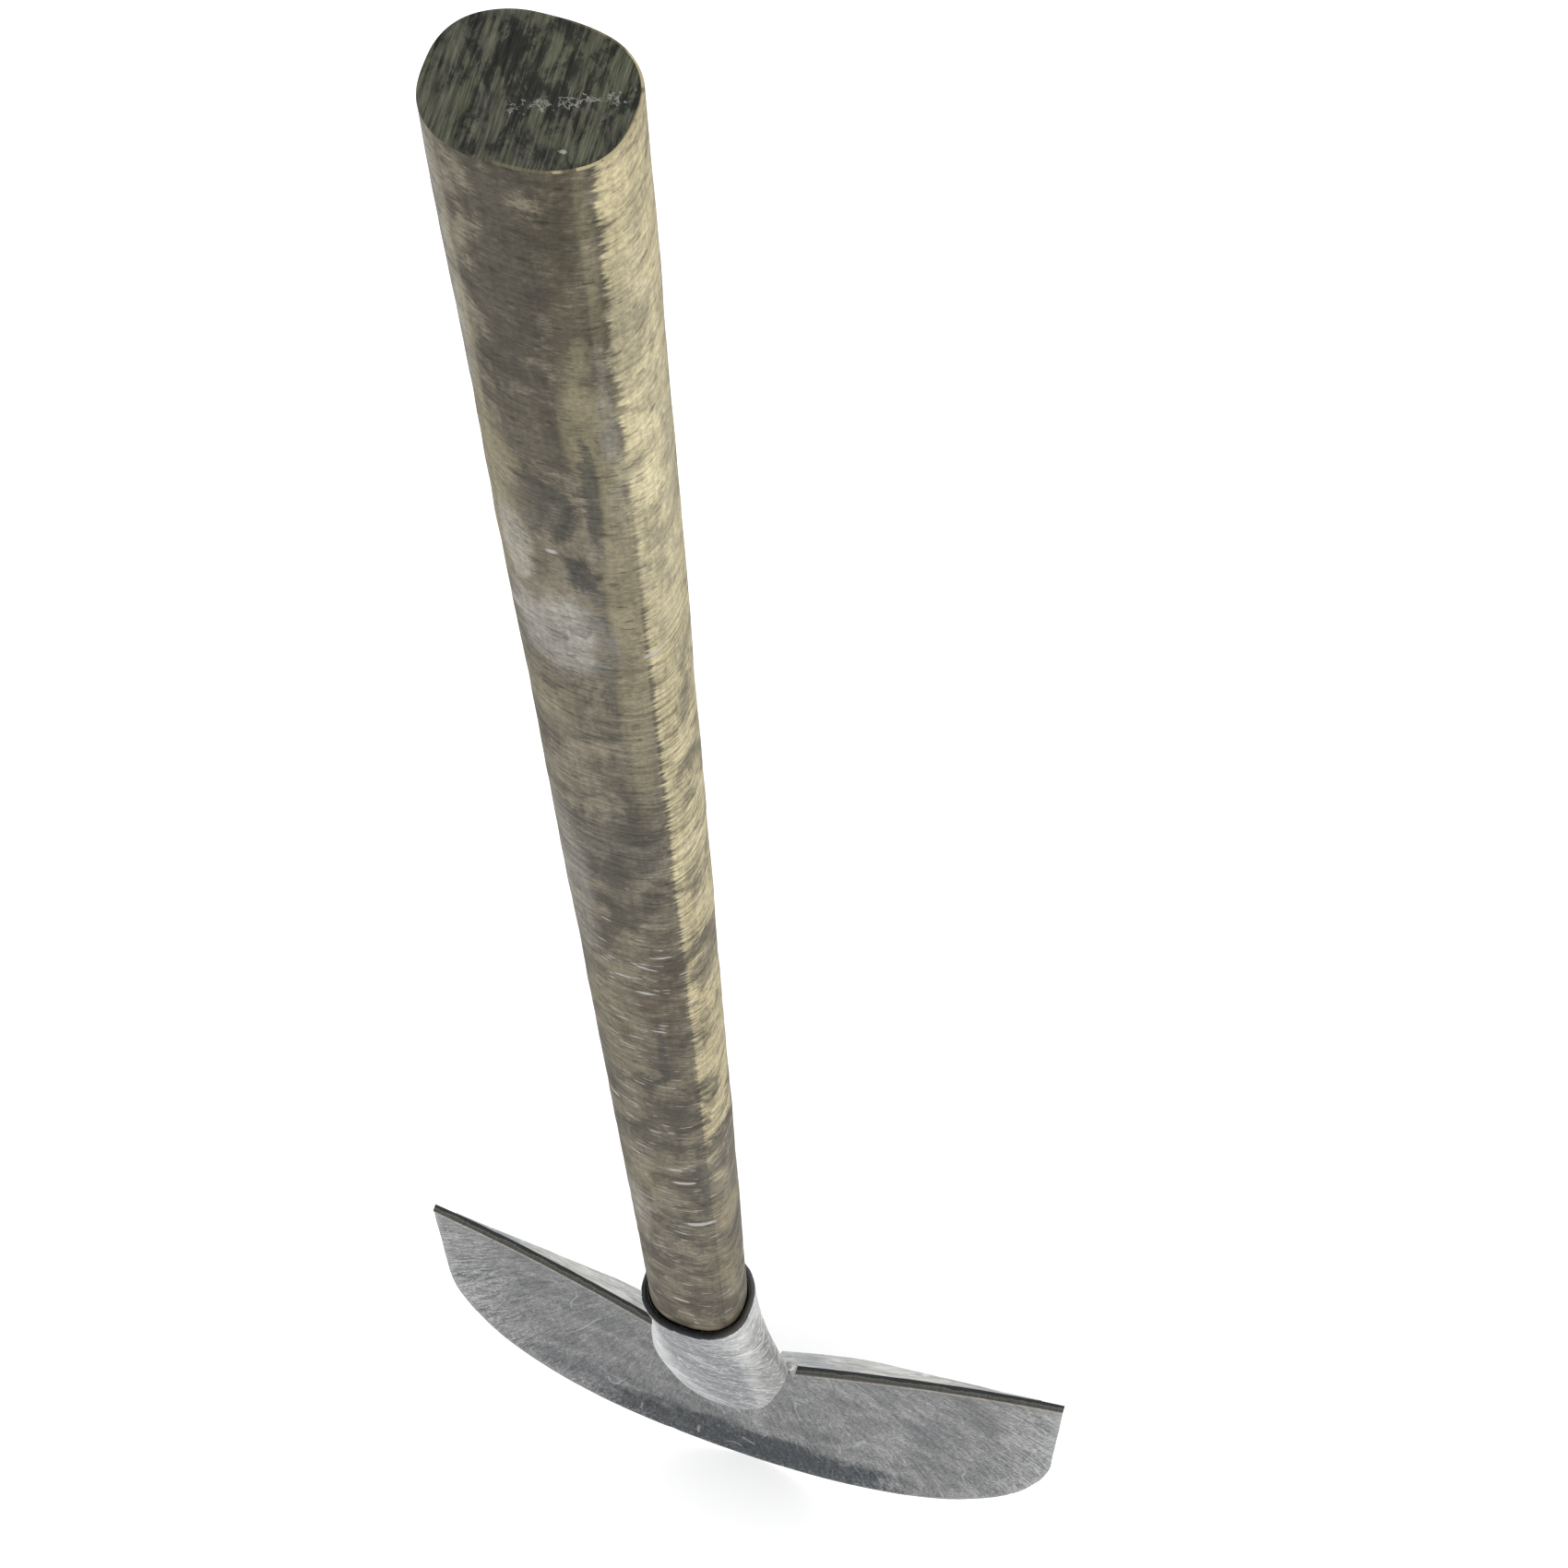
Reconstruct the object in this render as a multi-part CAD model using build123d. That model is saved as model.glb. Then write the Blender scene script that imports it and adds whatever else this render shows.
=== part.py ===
from build123d import *
from math import cos, pi, sin, sqrt
import os

# Long-handled hoe with a half-moon blade, in millimetres. It stands upright: +Z runs up the handle,
# +X to the right along the blade and +Y to the rear. The origin is on the ground plane under the
# middle of the tool. Heights are counted from the lowest point of the cutting edge, and Y distances
# in the design are counted from the handle's axis, which AXIS_Y places in the part's frame.

# Handle
HANDLE_HALF_WIDTH = 17.5
HANDLE_HALF_DEPTH = 14.3
HANDLE_EXPONENT = 2.45
HANDLE_TOP_Z = 1191.0
HANDLE_END_CHAMFER = 0.8

# Blade
BLADE_TOP_Z = 266.5
BLADE_HALF_WIDTH = 142.0
TIP_HALF_WIDTH = 139.8
BLADE_THICKNESS = 3.4
ROUND_START_Z = 171.5
FLAT_Y = 30.6
NOSE_Y = 15.6
NOSE_RADIUS = 10.5
WING_SLOPE = 0.2528
WING_CURVE = 0.00048
SHARPENING_WIDTH = 11.0
EDGE_LAND = 1.0
BLUNT_FROM_Z = 180.0
BLUNT_RISE = 9.0

# Socket
MOUTH_Z = 450.0
TONGUE_TIP_Z = 208.0
TONGUE_TILT = 0.45
TONGUE_HALF_WIDTH = 28.0
TONGUE_SIDE_HEIGHT = 75.0
NECK_REACH = 60.0
NECK_REAR_Z = 290.0
NECK_BEND_Y = 35.0
NECK_BEND_Z = 262.0
NECK_FOOT_Z = 170.0

# Each row is one section: depth below the mouth, half width, reach to the front, reach to the
# rear, Y of the section's middle, and the exponent of its rounded outline.
SOCKET_SECTIONS = [
    (0, 20.8, 17.3, 18.0, -0.7, 2.37),
    (52, 21.4, 14.9, 15.6, 3.4, 2.2),
    (105, 25.6, 13.2, 13.4, 7.4, 1.95),
    (175, 30.2, 10.8, 14.2, 12.8, 1.8),
    (270, 28.0, 7.6, 10.0, 20.2, 1.8),
]
CAVITY_SECTIONS = [
    (0, 18.3, 14.3, 15.7, -0.7, 2.37),
    (52, 18.6, 12.6, 13.3, 3.4, 2.2),
    (105, 22.0, 10.9, 10.8, 7.4, 1.95),
    (130, 23.6, 10.0, 10.4, 9.3, 1.9),
]
TENON_SECTIONS = [
    (0, HANDLE_HALF_WIDTH, HANDLE_HALF_DEPTH, HANDLE_HALF_DEPTH, 0, HANDLE_EXPONENT),
    (52, 16.4, 11.6, 10.9, 3.4, 2.2),
    (105, 15.5, 9.8, 6.9, 7.4, 2.0),
    (120, 14.5, 8.6, 5.0, 8.6, 2.0),
]

# Shoulders, the two wings behind the blade's top edge
SHOULDER_DROP = 2.0
SHOULDER_FOOT = 5.5
SHOULDER_REACH = [(15, 11.6), (36, 12.8), (54, 12.4), (73, 8.2), (95, 4.6), (116, 1.4), (130, 0.4)]

# Weld beads
WELD_SIZE = 2.6
CORNER_WELD_X = 26.6
CORNER_WELD_LENGTH = 6.0

# Retaining screw in the socket's rear wall
SCREW_Z = 405.0
SCREW_SEAT_Y = 16.8
SCREW_RADIUS = 2.5
SCREW_LENGTH = 21.0
SCREW_HEAD_RADIUS = 4.8
SCREW_HEAD_HEIGHT = 2.4
SCREW_HEAD_ROUNDING = 1.6
SCREW_SLOT_WIDTH = 1.3
SCREW_SLOT_DEPTH = 1.0
SEAT_CLEARANCE = 0.6
SHANK_CLEARANCE = 0.2

AXIS_Y = -12.15
OVAL_POINTS = 24
PLATE_STATIONS = [-1, -0.75, -0.5, -0.22, 0, 0.22, 0.5, 0.75, 1]
TONGUE_STATIONS = [-1.25, -1, -0.8, -0.5, 0, 0.5, 0.8, 1, 1.25]
OVERLAP = 5.0
ABOVE_MOUTH = MOUTH_Z + 10
REACH = 400.0


def oval(section):
    """A rounded section, flatter than an ellipse where its exponent is above 2."""
    depth_below_mouth, half_width, front, rear, centre_y, exponent = section
    points = []
    for i in range(OVAL_POINTS):
        angle = 2 * pi * i / OVAL_POINTS
        c, s = cos(angle), sin(angle)
        depth = rear if s > 0 else front
        x = half_width * (1 if c > 0 else -1) * abs(c) ** (2 / exponent)
        y = depth * (1 if s > 0 else -1) * abs(s) ** (2 / exponent)
        points.append((x, centre_y + y))
    return Pos(0, 0, MOUTH_Z - depth_below_mouth) * make_face(Spline(*points, periodic=True))


def blade_front_y(x, z):
    """Front face of the blade: two swept-back wings at the top that flatten towards the edge."""
    bow = sqrt(x * x + NOSE_RADIUS**2) - NOSE_RADIUS
    top_y = NOSE_Y + WING_SLOPE * bow - WING_CURVE * x * x
    return FLAT_Y + (top_y - FLAT_Y) * z / BLADE_TOP_Z


def plate_section(z, front_offset, rear_offset):
    """The blade plate cut level at height z, a little wider than the finished blade."""
    half = BLADE_HALF_WIDTH + OVERLAP
    front = [(half * k, blade_front_y(half * k, z) + front_offset) for k in PLATE_STATIONS]
    rear = [(half * k, blade_front_y(half * k, z) + rear_offset) for k in PLATE_STATIONS]
    outline = Spline(*front) + Line(front[-1], rear[-1]) + Spline(*rear) + Line(rear[0], front[0])
    return Pos(0, 0, z) * make_face(outline)


def plate(front_offset, rear_offset):
    top = plate_section(BLADE_TOP_Z, front_offset, rear_offset)
    bottom = plate_section(-OVERLAP, front_offset, rear_offset)
    return loft([bottom, top], ruled=True)


def upright_prism(face, y_from, y_to):
    """Extrude an outline drawn in X and Z from one Y distance to another."""
    placed = Pos(0, y_from, 0) * (Plane.XZ * face)
    return extrude(placed, amount=y_to - y_from, dir=(0, 1, 0))


def blade_outline():
    w = BLADE_HALF_WIDTH
    edge = EllipticalCenterArc((0, ROUND_START_Z), w, ROUND_START_Z, start_angle=180, arc_size=180)
    tips = [(TIP_HALF_WIDTH, BLADE_TOP_Z), (-TIP_HALF_WIDTH, BLADE_TOP_Z)]
    return make_face(edge + Polyline((w, ROUND_START_Z), *tips, (-w, ROUND_START_Z)))


def is_on_rear_of_rim(line):
    middle = line @ 0.5
    middle_of_plate = blade_front_y(middle.X, middle.Z) + BLADE_THICKNESS / 2
    return middle.Z < ROUND_START_Z and middle.Y > middle_of_plate


def blunt_zone():
    """Space in front of a steep plane, behind which the grind fades out towards the corners."""
    y = blade_front_y(BLADE_HALF_WIDTH, BLUNT_FROM_Z) + EDGE_LAND
    low = (y - REACH, BLUNT_FROM_Z - REACH * BLUNT_RISE)
    high = (y + REACH, BLUNT_FROM_Z + REACH * BLUNT_RISE)
    outline = make_face(Polyline(low, high, (low[0], high[1]), low))
    return extrude(Plane.YZ * outline, amount=REACH, both=True)


def make_blade():
    """Half-moon plate, ground on its rear side along the round edge and blunt at its corners."""
    blank = plate(0, BLADE_THICKNESS) & upright_prism(blade_outline(), -REACH, REACH)
    rim = [line for line in blank.edges() if is_on_rear_of_rim(line)]
    ground = chamfer(rim, BLADE_THICKNESS - EDGE_LAND, SHARPENING_WIDTH)
    return ground + (blank & blunt_zone())


def make_socket_body():
    """Outside of the socket: a round mouth that widens and leans back into the blade."""
    return loft([oval(s) for s in SOCKET_SECTIONS])


def make_cavity():
    return loft([oval(s) for s in CAVITY_SECTIONS], ruled=True)


def tongue_outline(margin):
    """U shape of the socket's front where it lies on the blade, forged a little lower on the left."""
    half = TONGUE_HALF_WIDTH + margin
    points = []
    for k in TONGUE_STATIONS:
        x = half * k
        z = TONGUE_TIP_Z - margin + TONGUE_TILT * x + TONGUE_SIDE_HEIGHT * abs(k) ** 3
        points.append((x, z))
    left, right = (points[0][0], ABOVE_MOUTH), (points[-1][0], ABOVE_MOUTH)
    top = Polyline(points[-1], right, left, points[0])
    return make_face(Spline(*points) + top)


def front_prism(margin=0.0):
    return upright_prism(tongue_outline(margin), -NECK_REACH, BLADE_THICKNESS + NOSE_Y)


def rear_prism():
    """Side profile that ends the socket's rear in a slope down to the blade."""
    front = BLADE_THICKNESS + NOSE_Y
    profile = Polyline(
        (front, ABOVE_MOUTH),
        (NECK_REACH, ABOVE_MOUTH),
        (NECK_REACH, NECK_REAR_Z),
        (NECK_BEND_Y, NECK_BEND_Z),
        (front, NECK_FOOT_Z),
        close=True,
    )
    return extrude(Plane.YZ * make_face(profile), amount=NECK_REACH, both=True)


def make_socket(body, slab):
    """Hollow at the top, solid at the neck, with the blade's plate let into its lower end."""
    front = (body & front_prism()) - plate(0, NECK_REACH)
    rear = (body & rear_prism()) - plate(-NECK_REACH, BLADE_THICKNESS)
    spot_face = screw_disc(SCREW_HEAD_RADIUS + SEAT_CLEARANCE, NECK_REACH)
    bore = screw_disc(SCREW_RADIUS + SHANK_CLEARANCE, -SCREW_LENGTH)
    return front + rear - slab - make_cavity() - spot_face - bore


def screw_disc(radius, length):
    """A cylinder that starts at the screw's seat and runs to the rear, or to the front if negative."""
    shape = Cylinder(radius, abs(length), align=(Align.CENTER, Align.CENTER, Align.MIN))
    return Pos(0, SCREW_SEAT_Y, SCREW_Z) * Rot(-90 if length > 0 else 90, 0, 0) * shape


def make_screw():
    """Round-head slotted screw that holds the handle in the socket."""
    head = screw_disc(SCREW_HEAD_RADIUS, SCREW_HEAD_HEIGHT)
    head = fillet(head.edges().sort_by(Axis.Y)[-1], SCREW_HEAD_ROUNDING)
    slot = Box(3 * SCREW_HEAD_RADIUS, 2 * SCREW_SLOT_DEPTH, SCREW_SLOT_WIDTH)
    slot = Pos(0, SCREW_SEAT_Y + SCREW_HEAD_HEIGHT, SCREW_Z) * slot
    return head - slot + screw_disc(SCREW_RADIUS, -SCREW_LENGTH)


def make_handle(screw):
    """Oval wooden shaft with a sawn end, shaved to a wedge where it sits in the socket."""
    shaft = extrude(oval(TENON_SECTIONS[0]), amount=HANDLE_TOP_Z - MOUTH_Z)
    shaft = chamfer(shaft.edges().sort_by(Axis.Z)[-1], HANDLE_END_CHAMFER)
    tenon = loft([oval(s) for s in TENON_SECTIONS], ruled=True)
    return shaft + tenon - screw


def shoulder_section(x, reach):
    """One slice of a shoulder: it slopes back and down from the blade's top, then in to its foot."""
    foot_z = BLADE_TOP_Z - SHOULDER_FOOT * reach
    top_y = blade_front_y(x, BLADE_TOP_Z)
    ridge = (top_y + BLADE_THICKNESS + reach, BLADE_TOP_Z - SHOULDER_DROP * reach)
    inner_top = (top_y + BLADE_THICKNESS / 2, BLADE_TOP_Z)
    outer_top = (top_y + BLADE_THICKNESS, BLADE_TOP_Z)
    foot = (blade_front_y(x, foot_z) + BLADE_THICKNESS / 2, foot_z)
    outline = Polyline(inner_top, outer_top, ridge, foot, close=True)
    return Pos(x, 0, 0) * (Plane.YZ * make_face(outline))


def make_shoulder(slab, body):
    wing = loft([shoulder_section(x, reach) for x, reach in SHOULDER_REACH])
    return wing - slab - body


def make_corner_welds(slab, body, shoulder):
    """Two short beads that fill the corners between the socket's sides and the blade's top edge."""
    y = blade_front_y(CORNER_WELD_X, BLADE_TOP_Z) + BLADE_THICKNESS / 2
    bead = Pos(CORNER_WELD_X, y, BLADE_TOP_Z) * Rot(90, 0, 0) * Cylinder(WELD_SIZE, CORNER_WELD_LENGTH)
    bead = fillet(bead.edges().filter_by(GeomType.CIRCLE), 0.4 * WELD_SIZE)
    pair = bead + mirror(bead, about=Plane.YZ)
    return pair - slab - body - shoulder - mirror(shoulder, about=Plane.YZ)


def shoulder_weld_section(x, reach):
    foot_z = BLADE_TOP_Z - SHOULDER_FOOT * reach
    rear_y = blade_front_y(x, foot_z) + BLADE_THICKNESS
    centre = Pos(x, rear_y, foot_z + WELD_SIZE)
    return centre * (Plane.YZ * Ellipse(WELD_SIZE * 0.8, WELD_SIZE * 1.6))


def make_shoulder_welds(slab, body, shoulder):
    """One long bead under each shoulder, where its foot meets the rear of the blade."""
    stations = SHOULDER_REACH[1:-2]
    bead = loft([shoulder_weld_section(x, reach) for x, reach in stations])
    bead = bead - slab - plate(-NECK_REACH, BLADE_THICKNESS) - body - shoulder
    return bead + mirror(bead, about=Plane.YZ)


def make_tongue_weld(slab):
    """Bead along the U where the socket's front meets the blade's face."""
    bead = plate(-WELD_SIZE, BLADE_THICKNESS / 2) & upright_prism(
        tongue_outline(WELD_SIZE), -NECK_REACH, NECK_REACH
    )
    corners = Pos(0, 0, BLADE_TOP_Z) * Box(REACH, REACH, 4 * WELD_SIZE)
    return bead - slab - plate(0, NECK_REACH) - front_prism() - corners


if __name__ == "__main__":
    os.makedirs("parts", exist_ok=True)
    slab = plate(0, BLADE_THICKNESS)
    body = make_socket_body()
    socket = make_socket(body, slab)
    screw = make_screw()
    right = make_shoulder(slab, body)
    pieces = {
        "handle": make_handle(screw),
        "socket": socket,
        "blade": make_blade(),
        "right_shoulder": right,
        "left_shoulder": mirror(right, about=Plane.YZ) - body,
        "tongue_weld": make_tongue_weld(slab),
        "corner_welds": make_corner_welds(slab, body, right),
        "shoulder_welds": make_shoulder_welds(slab, body, right),
        "retaining_screw": screw,
    }
    for name, piece in pieces.items():
        solids = piece.solids()
        print(name, len(solids), [round(s.volume, 1) for s in solids], piece.bounding_box())
        export_step(Pos(0, AXIS_Y, 0) * piece, f"parts/{name}.step")
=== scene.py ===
from math import cos, pi, radians, sin, sqrt

import bmesh
import bpy
import numpy as np
from mathutils import Matrix, Vector, noise


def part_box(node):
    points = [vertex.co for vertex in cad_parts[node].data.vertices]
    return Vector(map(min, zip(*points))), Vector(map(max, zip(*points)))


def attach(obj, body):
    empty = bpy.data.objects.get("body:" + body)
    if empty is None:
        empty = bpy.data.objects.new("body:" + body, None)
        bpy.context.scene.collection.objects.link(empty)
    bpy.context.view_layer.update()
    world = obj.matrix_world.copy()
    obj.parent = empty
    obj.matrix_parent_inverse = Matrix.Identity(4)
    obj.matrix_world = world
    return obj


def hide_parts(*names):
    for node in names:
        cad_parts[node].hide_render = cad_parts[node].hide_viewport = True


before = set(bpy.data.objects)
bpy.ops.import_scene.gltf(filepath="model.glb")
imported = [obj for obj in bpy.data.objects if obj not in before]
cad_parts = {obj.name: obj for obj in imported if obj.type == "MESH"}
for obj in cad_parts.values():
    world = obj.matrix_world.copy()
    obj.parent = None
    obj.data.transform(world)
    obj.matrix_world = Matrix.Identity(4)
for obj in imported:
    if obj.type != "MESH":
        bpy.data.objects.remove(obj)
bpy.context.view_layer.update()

# Looks of a long-handled hoe with a half-moon blade. Everything is in metres, in the model's frame:
# +Z up the handle, +X right along the blade, +Y to the rear. Sizes in the helpers below are in
# millimetres where a name ends in _MM or a comment says so.
MM = 0.001
ROOT = "root"

handle_low, handle_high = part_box("handle")
_, socket_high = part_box("socket")
_, blade_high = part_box("blade")
shoulder_low, shoulder_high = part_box("right_shoulder")

AXIS_Y = 0.5 * (handle_low.y + handle_high.y)
HALF_WIDTH = 0.5 * (handle_high.x - handle_low.x)
HALF_DEPTH = 0.5 * (handle_high.y - handle_low.y)
HANDLE_TOP = handle_high.z
MOUTH = socket_high.z
BLADE_TOP = blade_high.z
BLADE_HALF = blade_high.x
AXIS_Y_MM = 1000 * AXIS_Y
BLADE_TOP_MM = 1000 * BLADE_TOP
MOUTH_MM = 1000 * MOUTH


# ---------------------------------------------------------------- meshes


def make_object(name, vertices, faces, smooth_angle=35):
    """A mesh object from plain lists, shaded smooth up to an angle between its faces."""
    mesh = bpy.data.meshes.new(name)
    mesh.from_pydata([tuple(v) for v in vertices], [], faces)
    mesh.validate()
    mesh.update()
    piece = bpy.data.objects.new(name, mesh)
    bpy.context.scene.collection.objects.link(piece)
    mesh.shade_smooth()
    if smooth_angle:
        mesh.set_sharp_from_angle(angle=radians(smooth_angle))
    return piece


def set_attribute(piece, name, values):
    attribute = piece.data.attributes.new(name, "FLOAT", "POINT")
    attribute.data.foreach_set("value", np.asarray(values, np.float32))


def finish_piece(piece, material, node):
    """Give a piece its material and its body, and hide the CAD node that it stands for."""
    piece.data.materials.append(material)
    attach(piece, ROOT)
    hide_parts(node)


def wander(x, y, z, scale, seed=0.0):
    """Smooth noise between about -1 and 1 over a length given in metres."""
    return noise.noise(Vector((x / scale + seed, y / scale - seed, z / scale + 2 * seed)))


def tube_faces(rings, count):
    """Quads between rings of count vertices each, closed around."""
    faces = []
    for i in range(rings - 1):
        for j in range(count):
            k = (j + 1) % count
            faces.append((i * count + j, i * count + k, (i + 1) * count + k, (i + 1) * count + j))
    return faces


# ---------------------------------------------------------------- handle

OVAL_EXPONENT = 2.45
CAP_GRID = 40
EDGE_WEAR_MM = 0.45
EDGE_STEPS = (0.35, 0.7, 1.0)
SHAFT_RINGS = 520
TENON_RINGS = 39
SAW_RIDGE = 0.12 * MM

# The tenon at four depths below the mouth: half width, front, rear and middle, in millimetres.
TENON_DEPTHS_MM = [0, 52, 105, 120]
TENON_ROWS_MM = [
    [HALF_WIDTH / MM, 16.4, 15.5, 14.5],
    [HALF_DEPTH / MM, 11.6, 9.8, 8.6],
    [HALF_DEPTH / MM, 10.9, 6.9, 5.0],
    [0, 3.4, 7.4, 8.6],
]


def square_on_disc(u, v):
    """A point of the square -1..1 moved onto the unit disc, so that a grid of quads fills it."""
    return u * sqrt(1 - v * v / 2), v * sqrt(1 - u * u / 2)


def oval_reach(x, y):
    """How far the rounded oval reaches along a direction, for half sizes of 1."""
    length = sqrt(x * x + y * y)
    c, s = abs(x) / length, abs(y) / length
    return (c**OVAL_EXPONENT + s**OVAL_EXPONENT) ** (-1 / OVAL_EXPONENT)


def on_oval(u, v):
    """A point of the square -1..1 moved into the rounded oval, for half sizes of 1."""
    x, y = square_on_disc(u, v)
    if x == 0 and y == 0:
        return 0.0, 0.0
    reach = oval_reach(x, y)
    return x * reach, y * reach


def oval_directions():
    """Points once around the square's border, which become the oval's outline."""
    steps = [-1 + 2 * i / CAP_GRID for i in range(CAP_GRID)]
    border = [(s, -1) for s in steps] + [(1, s) for s in steps]
    border += [(-s, 1) for s in steps] + [(-1, -s) for s in steps]
    return border


def tenon_shape(depth_mm):
    """Half width, front, rear and middle of the handle at a depth below the mouth, in metres."""
    return [float(np.interp(depth_mm, TENON_DEPTHS_MM, row)) * MM for row in TENON_ROWS_MM]


def handle_heights():
    tenon = list(np.linspace(handle_low.z, MOUTH, TENON_RINGS + 1)[:-1])
    shaft = list(np.linspace(MOUTH, HANDLE_TOP - EDGE_WEAR_MM * MM, SHAFT_RINGS))
    return tenon + shaft


def shaft_relief(x, y, z):
    """Hand-shaved waviness and small dents of the shaft, in metres along its normal."""
    relief = 0.00028 * wander(x, y, z / 3, 0.016, 3.1)
    relief += 0.00012 * wander(x, y, z / 2, 0.006, 7.7)
    dent = wander(x, y, z / 2.2, 0.009, 12.4) - 0.42
    if dent > 0:
        relief -= 0.0011 * dent
    return relief


def make_handle():
    border = oval_directions()
    count = len(border)
    vertices, arcs, ends = [], [], []
    outline = [on_oval(u, v) for u, v in border]
    front = min(range(count), key=lambda j: (abs(outline[j][0]), outline[j][1]))
    heights = handle_heights()

    def add_ring(z, inset, end):
        width, depth_front, depth_rear, middle = tenon_shape(max(0.0, (MOUTH - z) / MM))
        for x, y in outline:
            depth = depth_rear if y > 0 else depth_front
            px, py = x * (width - inset), middle + y * (depth - inset)
            if z >= MOUTH:
                length = sqrt(px * px + py * py)
                lift = shaft_relief(px, py, z)
                px, py = px * (1 + lift / length), py * (1 + lift / length)
            vertices.append((px, AXIS_Y + py, z))
            ends.append(end)

    for z in heights:
        add_ring(z, 0.0, 0.0)
    for step in EDGE_STEPS:
        inset = EDGE_WEAR_MM * MM * (1 - cos(step * pi / 2))
        rise = EDGE_WEAR_MM * MM * sin(step * pi / 2)
        add_ring(heights[-1] + rise, inset, step)
    rings = len(heights) + len(EDGE_STEPS)
    faces = tube_faces(rings, count)

    top_ring = (rings - 1) * count
    faces += cap_faces(vertices, ends, top_ring, HANDLE_TOP, True)
    faces += cap_faces(vertices, ends, 0, handle_low.z, False)
    piece = make_object("wooden_handle", vertices, faces, 50)

    spacing = [
        sqrt(
            ((outline[j][0] - outline[j - 1][0]) * HALF_WIDTH) ** 2
            + ((outline[j][1] - outline[j - 1][1]) * HALF_DEPTH) ** 2
        )
        for j in range(count)
    ]
    along = np.cumsum(spacing)
    around = along[-1]
    arc = (along - along[front] + around / 2) % around - around / 2
    for i in range(len(vertices)):
        arcs.append(arc[i % count] / MM if i < rings * count else 0.0)
    set_attribute(piece, "arc_mm", arcs)
    set_attribute(piece, "sawn_end", ends)
    return piece


def cap_faces(vertices, ends, ring_start, z, upwards):
    """Fill a ring of the handle with a grid of quads, with the shallow ridges that the saw left."""
    ring = {}
    for j, (u, v) in enumerate(oval_directions()):
        ring[(round((u + 1) * CAP_GRID / 2), round((v + 1) * CAP_GRID / 2))] = ring_start + j
    ring_points = [vertices[ring_start + j] for j in range(4 * CAP_GRID)]
    half_x = max(p[0] for p in ring_points)
    half_y = 0.5 * (max(p[1] for p in ring_points) - min(p[1] for p in ring_points))
    middle_y = 0.5 * (max(p[1] for p in ring_points) + min(p[1] for p in ring_points))
    for a in range(1, CAP_GRID):
        for b in range(1, CAP_GRID):
            x, y = on_oval(-1 + 2 * a / CAP_GRID, -1 + 2 * b / CAP_GRID)
            px, py = x * half_x, middle_y + y * half_y
            ridge = 1 + wander(px, 0.12 * py, 0, 0.0011, 5.2)
            depth = SAW_RIDGE * ridge if upwards else 0
            ring[(a, b)] = len(vertices)
            vertices.append((px, py, z - depth))
            ends.append(2.0 if upwards else 0.0)
    faces = []
    for a in range(CAP_GRID):
        for b in range(CAP_GRID):
            quad = (ring[(a, b)], ring[(a + 1, b)], ring[(a + 1, b + 1)], ring[(a, b + 1)])
            faces.append(quad if upwards else quad[::-1])
    return faces


# ---------------------------------------------------------------- blade

BLADE_THICKNESS = 3.4 * MM
EDGE_LAND = 1.0 * MM
CORNER_LAND = 3.2 * MM
BLUNT_FROM = 180.0 * MM
BLUNT_OVER = 21.6 * MM
SHARPENING_WIDTH = 11 * MM
FLAT_Y = 30.6 * MM
NOSE_Y = 15.6 * MM
NOSE_RADIUS = 10.5 * MM
WING_SLOPE = 0.2528
WING_CURVE = 0.48
ROUND_START = 171.5 * MM
TIP_HALF = 139.8 * MM
EDGE_ROUNDING = 0.3 * MM
BLADE_COLUMNS = 180
STRAIGHT_ROWS = 56
ROUND_ROWS = 90
BLADE_CENTRE = Vector((0, 0.6 * BLADE_TOP))
# How far through the plate the two loops of the rounded edge lie, from front 0 to rear 1.
RIM_DEPTHS = (0.1, 0.9)


def blade_front_y(x, z):
    """Front face of the blade: two swept-back wings at the top that flatten towards the edge."""
    bow = sqrt(x * x + NOSE_RADIUS**2) - NOSE_RADIUS
    top_y = NOSE_Y + WING_SLOPE * bow - WING_CURVE * x * x
    return AXIS_Y + FLAT_Y + (top_y - FLAT_Y) * z / BLADE_TOP


def hammered(x, z):
    """Low unevenness of the forged plate, in metres."""
    uneven = 0.00022 * wander(x, 0, z, 0.045, 1.3) + 0.00009 * wander(x, 0, z, 0.014, 4.4)
    dent = wander(x, 0, z, 0.0075, 8.8) - 0.5
    return uneven + (0.0006 * dent if dent > 0 else 0.0)


def blade_half_width(z):
    if z >= ROUND_START:
        return BLADE_HALF + (TIP_HALF - BLADE_HALF) * (z - ROUND_START) / (BLADE_TOP - ROUND_START)
    drop = 1 - z / ROUND_START
    return BLADE_HALF * sqrt(max(0.0, 1 - drop * drop))


def rim_distance(x, z):
    """Rough distance in metres from the blade's sharpened side and round edge."""
    if z >= ROUND_START:
        return blade_half_width(z) - abs(x)
    across, down = x / BLADE_HALF, (ROUND_START - z) / ROUND_START
    share = sqrt(across * across + down * down)
    return (1 - share) * sqrt(x * x + (ROUND_START - z) ** 2) / max(share, 1e-6)


def blade_grid():
    """Outline points row by row: straight rows above, then the half disc below."""
    rows = []
    for i in range(STRAIGHT_ROWS):
        z = BLADE_TOP + (ROUND_START - BLADE_TOP) * i / STRAIGHT_ROWS
        half = blade_half_width(z)
        rows.append([(half * (2 * j / BLADE_COLUMNS - 1), z) for j in range(BLADE_COLUMNS + 1)])
    for i in range(ROUND_ROWS + 1):
        row = []
        for j in range(BLADE_COLUMNS + 1):
            x, down = square_on_disc(2 * j / BLADE_COLUMNS - 1, i / ROUND_ROWS)
            row.append((BLADE_HALF * x, ROUND_START * (1 - down)))
        rows.append(row)
    return rows


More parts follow.
